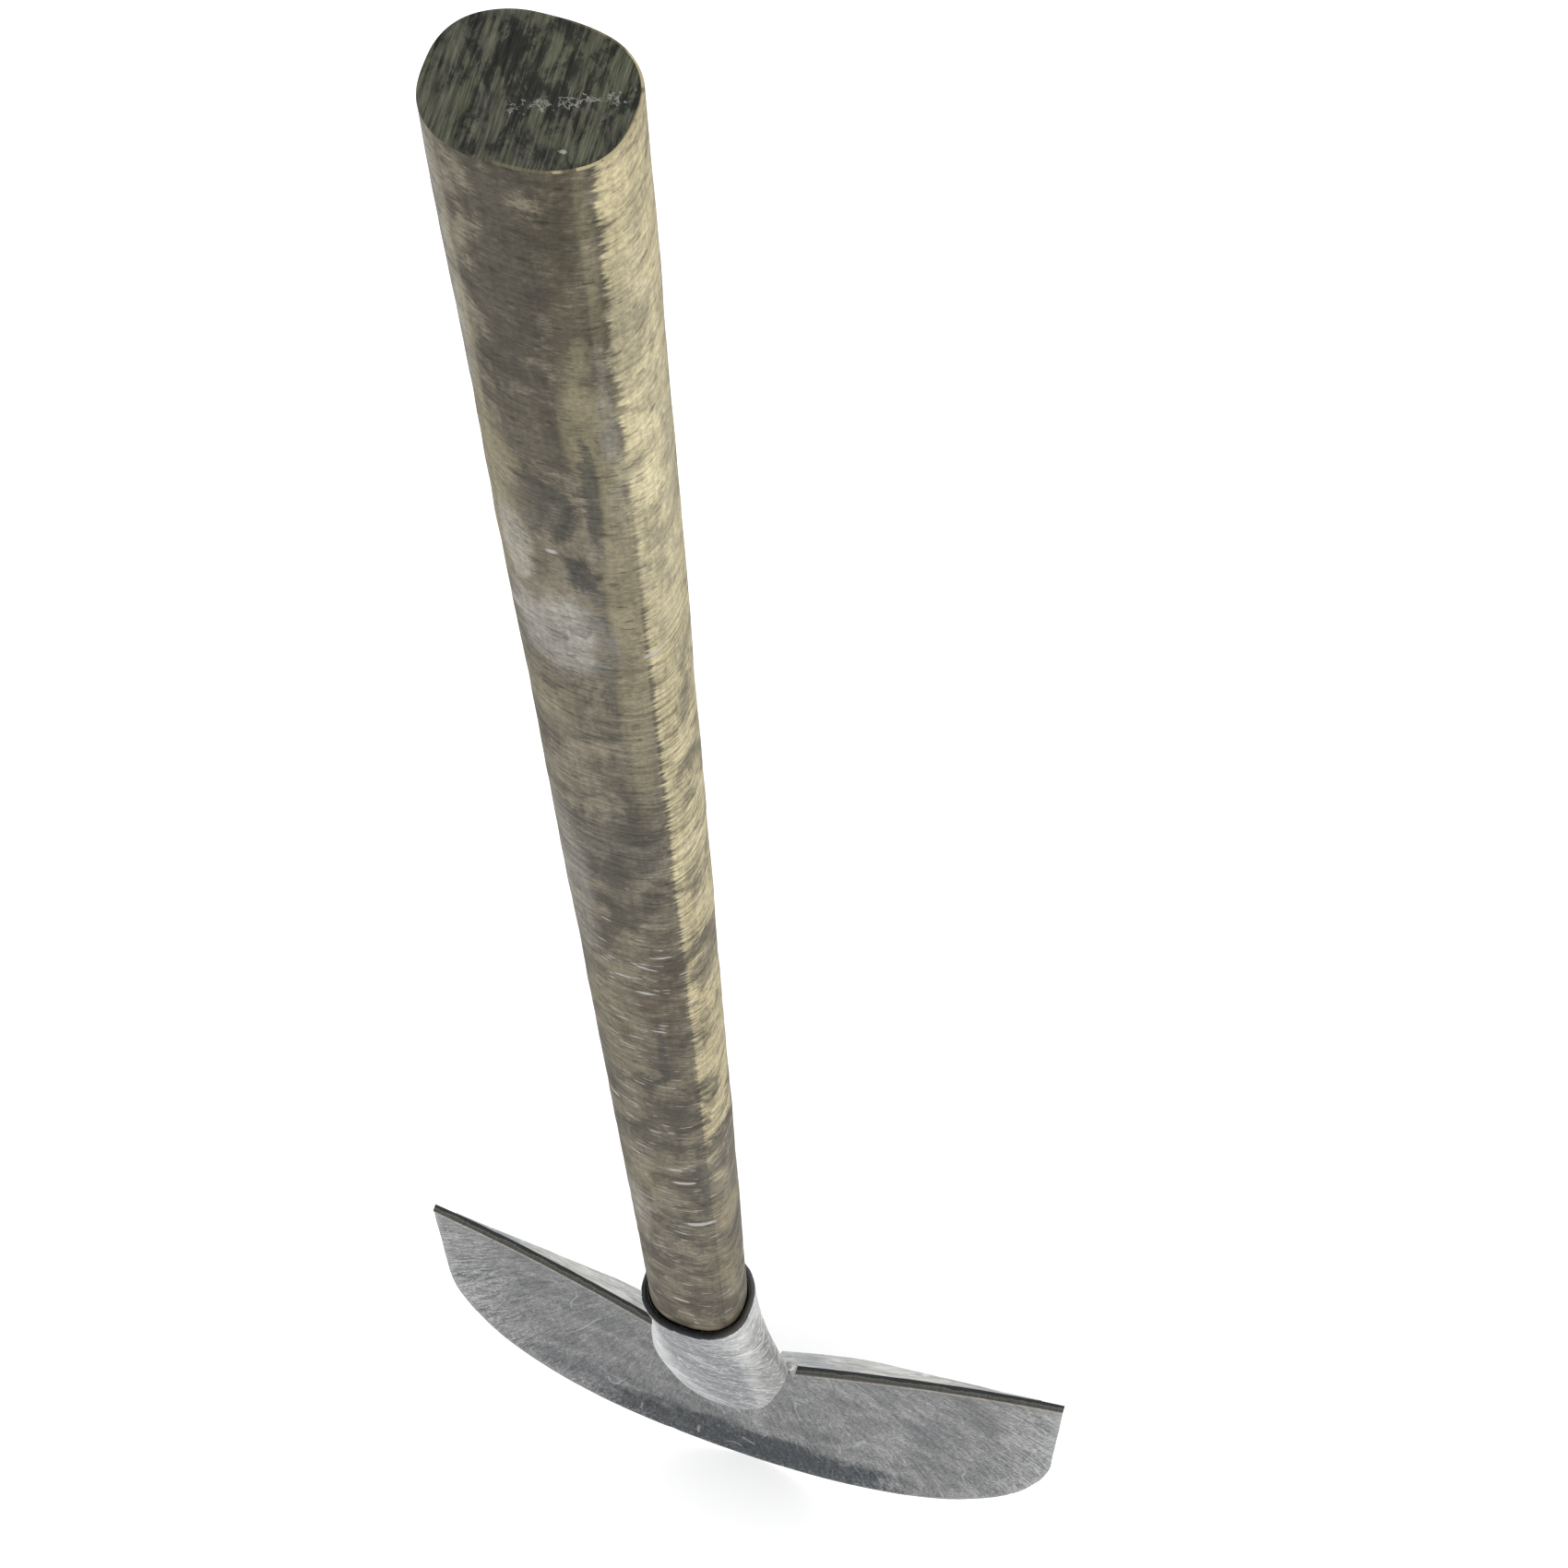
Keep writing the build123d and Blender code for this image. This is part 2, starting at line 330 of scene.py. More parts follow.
def nick(x, z):
    """How far the cutting edge is worn back at a point, in metres."""
    worn = 0.00022 * (1 + wander(x, 0, z, 0.02, 9.1))
    chip = wander(x, 0, z, 0.0042, 2.6) - 0.48
    return worn + (0.0022 * chip if chip > 0 else 0.0)


def blade_border(row_count):
    """Places of the grid once around the blade: top edge, right side, bottom and left side."""
    last = BLADE_COLUMNS
    border = [(0, j) for j in range(last + 1)]
    border += [(i, last) for i in range(1, row_count)]
    border += [(row_count - 1, j) for j in range(last - 1, -1, -1)]
    border += [(i, 0) for i in range(row_count - 2, 0, -1)]
    return border


def towards_centre(x, z):
    return (BLADE_CENTRE - Vector((x, z))).normalized()


def worn_point(x, z, on_top):
    """Pull a border point in by the wear of the cutting edge, which spares the top."""
    if on_top:
        return x, z
    inward = towards_centre(x, z) * nick(x, z)
    return x + inward.x, z + inward.y


def rounded_point(x, z, on_top):
    """A border point of the plate's faces, pulled in to leave room for the rounded edge."""
    x, z = worn_point(x, z, on_top)
    inward = Vector((0, -EDGE_ROUNDING)) if on_top else towards_centre(x, z) * EDGE_ROUNDING
    return x + inward.x, z + inward.y


def plate_thickness(x, z):
    """Ground thin along the round edge, fading out to almost the full plate at the corners."""
    blunt = min(1.0, max(0.0, (z - BLUNT_FROM) / BLUNT_OVER))
    land = EDGE_LAND + (CORNER_LAND - EDGE_LAND) * blunt
    inward = min(1.0, rim_distance(x, z) / SHARPENING_WIDTH)
    return land + (BLADE_THICKNESS - land) * inward


def plate_faces(row_count):
    """Quads of the front grid, then of the rear grid, which faces the other way."""
    column_count = BLADE_COLUMNS + 1
    faces = []
    for side in (0, 1):
        for i in range(row_count - 1):
            for j in range(column_count - 1):
                a = (side * row_count + i) * column_count + j
                quad = (a, a + column_count, a + column_count + 1, a + 1)
                faces.append(quad if side == 0 else quad[::-1])
    return faces


def rim_faces(loops):
    """Quads that join the front's border to the rear's, loop by loop."""
    faces = []
    for first, second in zip(loops, loops[1:]):
        for k in range(len(first)):
            m = (k + 1) % len(first)
            faces.append((first[k], first[m], second[m], second[k]))
    return faces


def make_blade():
    rows = blade_grid()
    row_count, column_count = len(rows), BLADE_COLUMNS + 1
    border = blade_border(row_count)
    on_border = set(border)
    vertices, rims, depths = [], [], []

    def add(x, z, offset, rim, depth):
        vertices.append((x, blade_front_y(x, z) + hammered(x, z) + offset, z))
        rims.append(rim)
        depths.append(depth)

    for side in (0, 1):
        for i, row in enumerate(rows):
            for j, (x, z) in enumerate(row):
                gap = rim_distance(x, z) / MM
                if (i, j) in on_border:
                    x, z = rounded_point(x, z, i == 0)
                add(x, z, plate_thickness(x, z) if side else 0.0, gap, side)

    loops = [[i * column_count + j for i, j in border]]
    for side in (0, 1):
        loop = []
        for i, j in border:
            x, z = worn_point(*rows[i][j], i == 0)
            plate = plate_thickness(x, z)
            inset = min(EDGE_ROUNDING, 0.3 * plate)
            loop.append(len(vertices))
            add(x, z, plate - inset if side else inset, 0.0, RIM_DEPTHS[side])
        loops.append(loop)
    loops.append([(row_count + i) * column_count + j for i, j in border])

    faces = plate_faces(row_count) + rim_faces(loops)
    piece = make_object("half_moon_blade", vertices, faces, 40)
    set_attribute(piece, "rim_mm", rims)
    set_attribute(piece, "across", depths)
    return piece


# ---------------------------------------------------------------- forged pieces from the CAD shapes


def curvature(mesh):
    """How convex the surface is at each vertex, from about -1 to 1, blurred a little."""
    count = len(mesh.vertices)
    points = np.empty(count * 3)
    normals = np.empty(count * 3)
    mesh.vertices.foreach_get("co", points)
    mesh.vertices.foreach_get("normal", normals)
    points, normals = points.reshape(-1, 3), normals.reshape(-1, 3)
    edges = np.empty(len(mesh.edges) * 2, int)
    mesh.edges.foreach_get("vertices", edges)
    a, b = edges.reshape(-1, 2).T
    along = points[b] - points[a]
    along /= np.maximum(np.linalg.norm(along, axis=1, keepdims=True), 1e-9)
    total, degree = np.zeros(count), np.zeros(count)
    np.add.at(total, a, -(along * normals[a]).sum(1))
    np.add.at(total, b, (along * normals[b]).sum(1))
    np.add.at(degree, a, 1)
    np.add.at(degree, b, 1)
    value = total / np.maximum(degree, 1)
    for _ in range(2):
        blurred = value.copy()
        np.add.at(blurred, a, value[b])
        np.add.at(blurred, b, value[a])
        value = blurred / (degree + 1)
    return value


def forged_copy(node, name, voxel, rounds, relief):
    """A finer, softened copy of a CAD piece: remeshed to quads, rounded at its edges and uneven."""
    piece = bpy.data.objects.new(name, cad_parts[node].data.copy())
    piece.data.materials.clear()
    bpy.context.scene.collection.objects.link(piece)
    remesh = piece.modifiers.new("remesh", "REMESH")
    remesh.mode = "VOXEL"
    remesh.voxel_size = voxel
    smooth = piece.modifiers.new("smooth", "SMOOTH")
    smooth.factor = 0.5
    smooth.iterations = rounds
    graph = bpy.context.evaluated_depsgraph_get()
    mesh = bpy.data.meshes.new_from_object(piece.evaluated_get(graph))
    piece.modifiers.clear()
    piece.data = mesh
    mesh.shade_smooth()
    bent = [v.co + v.normal * relief(*v.co) for v in mesh.vertices]
    for vertex, place in zip(mesh.vertices, bent):
        vertex.co = place
    mesh.update()
    set_attribute(piece, "convex", curvature(mesh))
    return piece


def socket_relief(x, y, z):
    return 0.00016 * wander(x, y, z, 0.013, 6.3) + 0.00007 * wander(x, y, z, 0.005, 2.2)


def weld_relief(x, y, z):
    """Ripples of a hand-laid bead."""
    return 0.00018 * sin(z * 2 * pi / 0.0017 + 900 * x) + 0.00015 * wander(x, y, z, 0.003, 1.9)


def screw_relief(x, y, z):
    return 0.00002 * wander(x, y, z, 0.002, 3.3)


# ---------------------------------------------------------------- shoulders

SHOULDER_STATIONS = 90
SHOULDER_DROP = 2.0
SHOULDER_FOOT = 5.5
REACH_X_MM = [15, 36, 54, 73, 95, 116, 130]
REACH_MM = [11.6, 12.8, 12.4, 8.2, 4.6, 1.4, 0.4]
BLUR_STEPS = 6
BLUR_STEP_MM = 1.5


def shoulder_reach(x):
    """How far the shoulder stands out behind the blade, in metres, on a smooth curve."""
    total = weight = 0.0
    for k in range(-BLUR_STEPS, BLUR_STEPS + 1):
        w = 1 - abs(k) / (BLUR_STEPS + 1)
        total += w * float(np.interp(x / MM + BLUR_STEP_MM * k, REACH_X_MM, REACH_MM))
        weight += w
    return total / weight * MM


def shoulder_ring(x):
    """One closed section: along the plate's rear, over the rounded ridge and down to the foot."""
    reach = shoulder_reach(x)
    foot_z = BLADE_TOP - SHOULDER_FOOT * reach
    rear = lambda z: blade_front_y(x, z) + BLADE_THICKNESS
    top = Vector((rear(BLADE_TOP), BLADE_TOP))
    ridge = Vector((rear(BLADE_TOP) + reach, BLADE_TOP - SHOULDER_DROP * reach))
    foot = Vector((rear(foot_z), foot_z))
    ring = [top + (ridge - top) * 0.88 * k / 5 for k in range(5)]
    start, stop = top + (ridge - top) * 0.88, ridge + (foot - ridge) * 0.12
    for k in range(5):
        t = k / 4
        ring.append(start * (1 - t) ** 2 + ridge * 2 * t * (1 - t) + stop * t * t)
    ring += [stop + (foot - stop) * k / 5 for k in range(1, 6)]
    ring += [foot + (top - foot) * k / 4 - Vector((0.0004, 0)) for k in range(4)]
    return [(x, p.x, p.y) for p in ring]


def make_shoulder(side):
    start, end = shoulder_low.x + 4 * MM, shoulder_high.x
    vertices = []
    for i in range(SHOULDER_STATIONS + 1):
        for x, y, z in shoulder_ring(start + (end - start) * i / SHOULDER_STATIONS):
            uneven = 0.00012 * wander(x, y, z, 0.012, 5.5)
            vertices.append((side * x, y + uneven, z))
    count = len(vertices) // (SHOULDER_STATIONS + 1)
    faces = tube_faces(SHOULDER_STATIONS + 1, count)
    faces.append(tuple(range(count))[::-1])
    faces.append(tuple(range(SHOULDER_STATIONS * count, (SHOULDER_STATIONS + 1) * count)))
    if side < 0:
        faces = [face[::-1] for face in faces]
    name = "right_shoulder_plate" if side > 0 else "left_shoulder_plate"
    piece = make_object(name, vertices, faces, 40)
    recalculate_normals(piece)
    return piece


def recalculate_normals(piece):
    mesh = bmesh.new()
    mesh.from_mesh(piece.data)
    bmesh.ops.recalc_face_normals(mesh, faces=mesh.faces)
    mesh.to_mesh(piece.data)
    mesh.free()


# ---------------------------------------------------------------- node materials
# Places and lengths in the materials are in millimetres, except for the distances of the bumps.


class Graph:
    """Short calls for building one material's node tree."""

    def __init__(self, name):
        self.material = bpy.data.materials.new(name)
        self.material.use_nodes = True
        self.tree = self.material.node_tree
        self.shader = self.tree.nodes["Principled BSDF"]
        self.point = self.new("ShaderNodeTexCoord").outputs["Object"]
        self.millimetres = self.scaled(self.point, (1000, 1000, 1000))

    def new(self, kind):
        return self.tree.nodes.new(kind)

    def put(self, socket, value):
        if isinstance(value, bpy.types.NodeSocket):
            self.tree.links.new(value, socket)
        else:
            socket.default_value = value

    def math(self, operation, a, b=0.0):
        node = self.new("ShaderNodeMath")
        node.operation = operation
        self.put(node.inputs[0], a)
        self.put(node.inputs[1], b)
        return node.outputs[0]

    def scaled(self, vector, factors):
        node = self.new("ShaderNodeVectorMath")
        node.operation = "MULTIPLY"
        self.put(node.inputs[0], vector)
        node.inputs[1].default_value = factors
        return node.outputs[0]

    def parts(self, vector):
        node = self.new("ShaderNodeSeparateXYZ")
        self.put(node.inputs[0], vector)
        return node.outputs[0], node.outputs[1], node.outputs[2]

    def joined(self, x, y, z):
        node = self.new("ShaderNodeCombineXYZ")
        for socket, value in zip(node.inputs, (x, y, z)):
            self.put(socket, value)
        return node.outputs[0]

    def noise(self, vector, scale=1.0, detail=4.0, roughness=0.55, distortion=0.0):
        node = self.new("ShaderNodeTexNoise")
        self.put(node.inputs["Vector"], vector)
        node.inputs["Scale"].default_value = scale
        node.inputs["Detail"].default_value = detail
        node.inputs["Roughness"].default_value = roughness
        node.inputs["Distortion"].default_value = distortion
        return node.outputs["Fac"]

    def band(self, value, low, high, bottom=0.0, top=1.0):
        """Smooth step of a value from low to high."""
        node = self.new("ShaderNodeMapRange")
        node.interpolation_type = "SMOOTHSTEP"
        self.put(node.inputs["Value"], value)
        node.inputs["From Min"].default_value = low
        node.inputs["From Max"].default_value = high
        node.inputs["To Min"].default_value = bottom
        node.inputs["To Max"].default_value = top
        return node.outputs["Result"]

    def blend(self, share, a, b, mode="MIX"):
        node = self.new("ShaderNodeMix")
        node.data_type = "RGBA"
        node.blend_type = mode
        self.put(node.inputs["Factor"], share)
        for socket, value in ((node.inputs["A"], a), (node.inputs["B"], b)):
            self.put(socket, (*value, 1) if isinstance(value, tuple) else value)
        return [s for s in node.outputs if s.type == "RGBA"][0]

    def attribute(self, name):
        node = self.new("ShaderNodeAttribute")
        node.attribute_name = name
        return node.outputs["Fac"]

    def facing_up(self):
        node = self.new("ShaderNodeNewGeometry")
        return self.parts(node.outputs["Normal"])[2]

    def tone(self, colour, factor):
        """Multiply a colour by a grey value."""
        return self.blend(1.0, colour, self.joined(factor, factor, factor), "MULTIPLY")

    def bump(self, height, distance, strength=1.0, after=None):
        node = self.new("ShaderNodeBump")
        node.inputs["Strength"].default_value = strength
        node.inputs["Distance"].default_value = distance
        self.put(node.inputs["Height"], height)
        if after is not None:
            self.put(node.inputs["Normal"], after)
        return node.outputs["Normal"]

    def finish(self, colour, roughness, normal, metallic=0.0, specular=0.5):
        self.put(self.shader.inputs["Base Color"], colour)
        self.put(self.shader.inputs["Roughness"], roughness)
        self.put(self.shader.inputs["Normal"], normal)
        self.shader.inputs["Metallic"].default_value = metallic
        self.put(self.shader.inputs["Specular IOR Level"], specular)
        return self.material


def scratches(g, vector, scale, width, rarity, distortion=0.6):
    """Thin broken lines where a stretched noise crosses its middle value."""
    field = g.noise(vector, scale, 1.0, 0.4, distortion)
    line = g.band(g.math("ABSOLUTE", g.math("SUBTRACT", field, 0.5)), 0.0, width, 1.0, 0.0)
    breaks = g.band(g.noise(vector, scale * 1.9, 2.0), rarity, rarity + 0.06)
    return g.math("MULTIPLY", line, breaks)


# Weathered patches of the shaft: place around it from the front's middle, height above the
# ground, half sizes, all in millimetres, then colour and strength.
BROWN = (0.044, 0.038, 0.027)
OLIVE = (0.046, 0.040, 0.025)
CREAM = (0.300, 0.262, 0.160)
BRIGHT_CREAM = (0.430, 0.385, 0.258)
TAN = (0.150, 0.131, 0.082)
LAVENDER = (0.190, 0.180, 0.160)
PALE = (0.250, 0.240, 0.212)
RUSSET = (0.060, 0.046, 0.032)
CHARCOAL = (0.036, 0.034, 0.029)
CHIP = (0.330, 0.325, 0.300)
SHAFT_PATCHES = [
    (-16, 1152, 5, 52, PALE, 0.5),
    (9, 1140, 6.5, 78, OLIVE, 0.95),
    (-3, 1160, 8, 45, BROWN, 0.95),
    (-3, 1110, 9, 34, BROWN, 0.8),
    (12.4, 1168, 1.6, 30, TAN, 0.3),
    (10, 1120, 3, 9, TAN, 0.55),
    (9, 1136, 2.0, 7, TAN, 0.5),
    (-12.6, 1130, 0.8, 60, TAN, 0.7),
    (7, 1112, 3.2, 24, TAN, 0.7),
    (12, 1100, 2, 34, LAVENDER, 0.4),
    (-14, 1074, 9, 36, TAN, 0.95),
    (-10, 1058, 4, 18, PALE, 0.6),
    (11, 1030, 4.0, 80, TAN, 0.8),
    (-4, 1078, 8, 12, CHARCOAL, 0.5),
    (7.5, 1080, 1.8, 26, CHARCOAL, 0.8),
    (3, 1054, 4, 7, CHARCOAL, 0.8),
    (-3, 1028, 11, 20, LAVENDER, 0.95),
    (6, 1020, 2.4, 30, CHARCOAL, 0.4),
    (-18, 1027, 10, 2, PALE, 0.7),
    (-14, 1002, 8, 7, CHARCOAL, 0.4),
    (-10, 990, 8, 16, TAN, 0.35),
    (2, 915, 17, 22, CHARCOAL, 0.4),
    (-14, 880, 7, 50, LAVENDER, 0.55),
    (8, 812, 9, 24, RUSSET, 0.9),
    (-8, 780, 9, 40, TAN, 0.3),
    (6, 765, 1.2, 28, CHARCOAL, 0.6),
    (0, 690, 14, 36, BROWN, 0.45),
    (-6, 640, 10, 30, TAN, 0.25),
    (13, 650, 1.8, 60, CHARCOAL, 0.5),
    (-12, 592, 5, 28, PALE, 0.45),
    (22, 640, 8, 30, LAVENDER, 0.2),
    (18, 530, 5, 22, TAN, 0.35),
    (0, 500, 14, 40, RUSSET, 0.4),
    (42, 1000, 9, 130, LAVENDER, 0.4),
    (-38, 900, 9, 150, TAN, 0.4),
    (46, 640, 6, 90, OLIVE, 0.6),
]
# The shaft's red, green and blue, each below and above its middle.
SHAFT_TINT = [(0.955, 1.03), (0.935, 1.025), (0.885, 1.0)]
# Small pale chips of the shaft: place around it, height and half sizes, in millimetres.
SHAFT_CHIPS = [
    (11, 594, 5, 1.7),
    (5, 655, 3, 1.3),
    (7, 641, 3, 1.2),
    (-1, 826, 3.5, 1.0),
    (4, 816, 3, 1.0),
    (-13, 709, 2.5, 1.0),
    (-1, 488, 3, 1.1),
    (2, 470, 2, 0.9),
    (-2, 1062, 1.5, 0.9),
    (16, 1018, 2.5, 1.2),
]


def patch(g, a, b, centre, half, ragged):
    """Soft-edged oval patch in two coordinates, with its border broken up by noise."""
    across = g.math("DIVIDE", g.math("SUBTRACT", a, centre[0]), half[0])
    along = g.math("DIVIDE", g.math("SUBTRACT", b, centre[1]), half[1])
    squares = g.math("ADD", g.math("MULTIPLY", across, across), g.math("MULTIPLY", along, along))
    return g.band(g.math("ADD", squares, ragged), 0.45, 1.45, 1.0, 0.0)


def bleached_share(g, arc, z, streaks, blots, ragged):
    """The pale strip begins sharply at the front right corner and fades towards the socket."""
    edge = g.math("ADD", arc, g.band(streaks, 0.35, 0.65, -0.8, 0.8))
    strip = g.math("MULTIPLY", g.band(edge, 14.4, 15.6), g.band(edge, 27.0, 40.0, 1.0, 0.0))
    height = g.math("ADD", z, g.band(blots, 0.3, 0.7, -60, 60))
    bleached = g.math("MULTIPLY", strip, g.band(height, 655, 735, 0.10, 0.9))
    soiled = patch(g, arc, z, (25, 823), (10, 22), ragged)
    bleached = g.math("MULTIPLY", bleached, g.band(soiled, 0.0, 1.0, 1.0, 0.35))
    bleached = g.math("MULTIPLY", bleached, g.band(streaks, 0.36, 0.50, 0.62, 1.0))
    bleached = g.math("MULTIPLY", bleached, g.band(blots, 0.38, 0.5, 0.55, 1.0))
    low_patch = patch(g, arc, z, (22, 590), (7, 16), ragged)
    return g.math("MAXIMUM", bleached, g.math("MULTIPLY", low_patch, 0.5))


def shaft_marks(g, arc, z, leaning, ragged):
    """Small pale nicks, more of them low down, and the larger chips."""
    low_wear = g.band(z, 850, 900, 0.0, -0.2)
    nick_field = g.noise(g.scaled(leaning, (0.17, 0.17, 0.85)), 1.0, 1.0, 0.3)
    marks = g.band(g.math("ADD", nick_field, low_wear), 0.705, 0.735)
    for centre_arc, centre_z, half_arc, half_z in SHAFT_CHIPS:
        chip = patch(g, arc, z, (centre_arc, centre_z), (half_arc, half_z), ragged)
        marks = g.math("MAXIMUM", marks, chip)
    return marks


def wood_material():
    g = Graph("weathered_shaft_wood")
    x, y, z = g.parts(g.millimetres)
    arc = g.attribute("arc_mm")
    leaning = g.joined(x, y, g.math("ADD", z, g.math("MULTIPLY", x, 0.10)))
    blots = g.noise(g.scaled(g.millimetres, (0.085, 0.085, 0.055)), 1.0, 8.0, 0.66, 0.5)
    streaks = g.noise(g.scaled(leaning, (0.10, 0.10, 0.80)), 1.0, 5.0, 0.62, 0.2)
    fine = g.noise(g.scaled(leaning, (0.45, 0.45, 2.2)), 1.0, 3.0, 0.65)
    speckle = g.noise(g.scaled(g.millimetres, (0.9, 0.9, 0.9)), 1.0, 3.0, 0.7)
    grain = g.noise(g.scaled(g.millimetres, (0.9, 0.9, 0.018)), 1.0, 3.0, 0.6)
    ragged = g.math("ADD", g.band(blots, 0.3, 0.7, -0.8, 0.8), g.band(fine, 0.3, 0.7, -0.35, 0.35))
    low_down = g.band(z, 1060, 960)

    colour = g.blend(g.band(blots, 0.38, 0.62), (0.058, 0.050, 0.035), (0.097, 0.085, 0.062))
    for centre_arc, centre_z, half_arc, half_z, tint, strength in SHAFT_PATCHES:
        mask = patch(g, arc, z, (centre_arc, centre_z), (half_arc, half_z), ragged)
        colour = g.blend(g.math("MULTIPLY", mask, strength), colour, tint)

    colour = g.blend(bleached_share(g, arc, z, streaks, blots, ragged), colour, CREAM)
    top_strip = patch(g, arc, z, (21, 1095), (7, 75), ragged)
    colour = g.blend(g.math("MULTIPLY", top_strip, 0.45), colour, BRIGHT_CREAM)

    colour = g.tone(colour, g.band(blots, 0.37, 0.63, 0.76, 1.24))
    streaked = g.band(streaks, 0.35, 0.65, -0.20, 0.22)
    streaked = g.math("MULTIPLY", streaked, g.band(low_down, 0, 1, 0.35, 1))
    colour = g.tone(colour, g.math("ADD", streaked, 1.0))
    colour = g.tone(colour, g.band(fine, 0.35, 0.65, 0.88, 1.12))
    colour = g.tone(colour, g.band(speckle, 0.35, 0.65, 0.84, 1.18))
    colour = g.tone(colour, g.band(grain, 0.38, 0.62, 0.93, 1.07))
    pits = g.noise(g.scaled(leaning, (0.26, 0.26, 0.80)), 1.0, 2.0, 0.5)
    colour = g.tone(colour, g.band(pits, 0.61, 0.70, 1.0, 0.55))
    corner = g.band(g.math("ABSOLUTE", g.math("SUBTRACT", arc, 14.6)), 0.0, 0.6, 0.78, 1.0)
    colour = g.tone(colour, g.math("MAXIMUM", corner, g.band(z, 1050, 1090)))

    tint = [g.band(z, 830, 900, low, high) for low, high in SHAFT_TINT]
    colour = g.blend(1.0, colour, g.joined(*tint), "MULTIPLY")

    marks = shaft_marks(g, arc, z, leaning, ragged)
    colour = g.blend(g.math("MULTIPLY", marks, 0.75), colour, CHIP)

    height_map = g.math("ADD", g.math("MULTIPLY", streaks, 0.5), g.math("MULTIPLY", fine, 0.5))
    height_map = g.math("SUBTRACT", height_map, g.math("MULTIPLY", marks, 0.4))
    normal = g.bump(height_map, 0.0004, 0.4)
    normal = g.bump(grain, 0.0002, 0.3, normal)
    rough = g.band(streaks, 0.3, 0.7, 0.80, 0.66)
    return g.finish(colour, rough, normal, 0.0, 0.2)


def end_grain_material():
    g = Graph("sawn_end_grain")
    x, y, _ = g.parts(g.millimetres)
    leaning = g.joined(g.math("ADD", x, g.math("MULTIPLY", y, 0.08)), y, 0.0)
    saw = g.noise(g.scaled(leaning, (1.25, 0.075, 0.0)), 1.0, 5.0, 0.68)
    fine = g.noise(g.scaled(leaning, (4.2, 0.16, 0.0)), 1.0, 3.0, 0.6)
    blot = g.noise(g.scaled(leaning, (0.24, 0.13, 0.0)), 1.0, 6.0, 0.7, 0.5)
    colour = g.blend(g.band(blot, 0.38, 0.62), (0.026, 0.027, 0.022), (0.054, 0.053, 0.039))
    blotted = g.math("ADD", blot, g.math("MULTIPLY", saw, 0.5))
    middle = patch(g, x, y, (4, AXIS_Y_MM + 3), (11, 8), g.band(blot, 0.3, 0.7, -1.0, 1.0))
    blotted = g.math("SUBTRACT", blotted, g.math("MULTIPLY", middle, 0.06))
    colour = g.tone(colour, g.band(blotted, 0.64, 0.76, 0.48, 1.0))
    colour = g.tone(colour, g.band(saw, 0.3, 0.7, 0.55, 1.6))
    colour = g.tone(colour, g.band(fine, 0.3, 0.7, 0.70, 1.35))
    green = g.band(g.noise(g.scaled(leaning, (0.12, 0.12, 0.0)), 1.0, 2.0), 0.45, 0.6, 0.0, 0.5)
    colour = g.blend(green, colour, g.blend(1.0, colour, (0.92, 1.06, 0.86), "MULTIPLY"))

    # A row of small pale chips crosses the right half of the end.
    offset = g.math("SUBTRACT", y, AXIS_Y_MM - 2.9)
    offset = g.math("SUBTRACT", offset, g.math("MULTIPLY", x, 0.42))
    ragged = g.noise(g.scaled(leaning, (0.8, 0.8, 0.0)), 1.0, 4.0, 0.7)
    wavy = g.math("ADD", offset, g.band(ragged, 0.3, 0.7, -1.8, 1.8))
    near = g.band(g.math("ABSOLUTE", wavy), 0.15, 0.6, 1.0, 0.0)
    reach = g.math("MULTIPLY", g.band(x, -3.0, -1.5), g.band(x, 14.5, 16.0, 1.0, 0.0))
    chipped = g.band(g.noise(g.scaled(leaning, (0.45, 0.3, 0.0)), 1.0, 2.0), 0.44, 0.50)
    broken = g.band(ragged, 0.3, 0.7, -1.2, 1.2)
    small = patch(g, x, y, (8.5, AXIS_Y_MM - 9.0), (0.6, 0.35), broken)
    chips = g.math("MAXIMUM", g.math("MULTIPLY", g.math("MULTIPLY", near, reach), chipped), small)
    colour = g.blend(g.math("MULTIPLY", chips, 0.85), colour, (0.24, 0.24, 0.215))

    # The rim is worn to bare wood on the right and dark along the front and the left.
    end = g.attribute("sawn_end")
    rim = g.band(end, 0.9, 1.5, 1.0, 0.0)
    wear = g.noise(g.scaled(g.millimetres, (0.4, 0.4, 0.4)), 1.0, 4.0, 0.6)
    side = g.math("ADD", x, g.band(wear, 0.35, 0.65, -5.0, 5.0))
    colour = g.blend(g.math("MULTIPLY", rim, g.band(side, -6.0, 4.0, 0.0, 0.45)), colour, TAN)
    colour = g.blend(g.math("MULTIPLY", rim, g.band(side, 10.0, 15.0)), colour, CREAM)
    height_map = g.math("ADD", saw, g.math("MULTIPLY", fine, 0.5))
    normal = g.bump(g.math("SUBTRACT", height_map, g.math("MULTIPLY", chips, 0.8)), 0.0005, 0.6)
    return g.finish(colour, g.band(saw, 0.3, 0.7, 0.9, 0.75), normal, 0.0, 0.15)


# Dark stains of the blade: X and Z of the middle, half sizes, in millimetres, and strength.
BLADE_STAINS = [
    (4, 34, 64, 40, 0.95),
    (-45, 62, 40, 26, 0.55),
    (48, 42, 22, 26, 0.5),
    (-88, 92, 20, 16, 0.4),
    (-20, 105, 46, 20, 0.35),
    (-60, 205, 26, 14, 0.25),
    (-112, 190, 14, 10, 0.3),
    (96, 180, 16, 22, 0.25),
    (118, 135, 12, 16, 0.3),
]


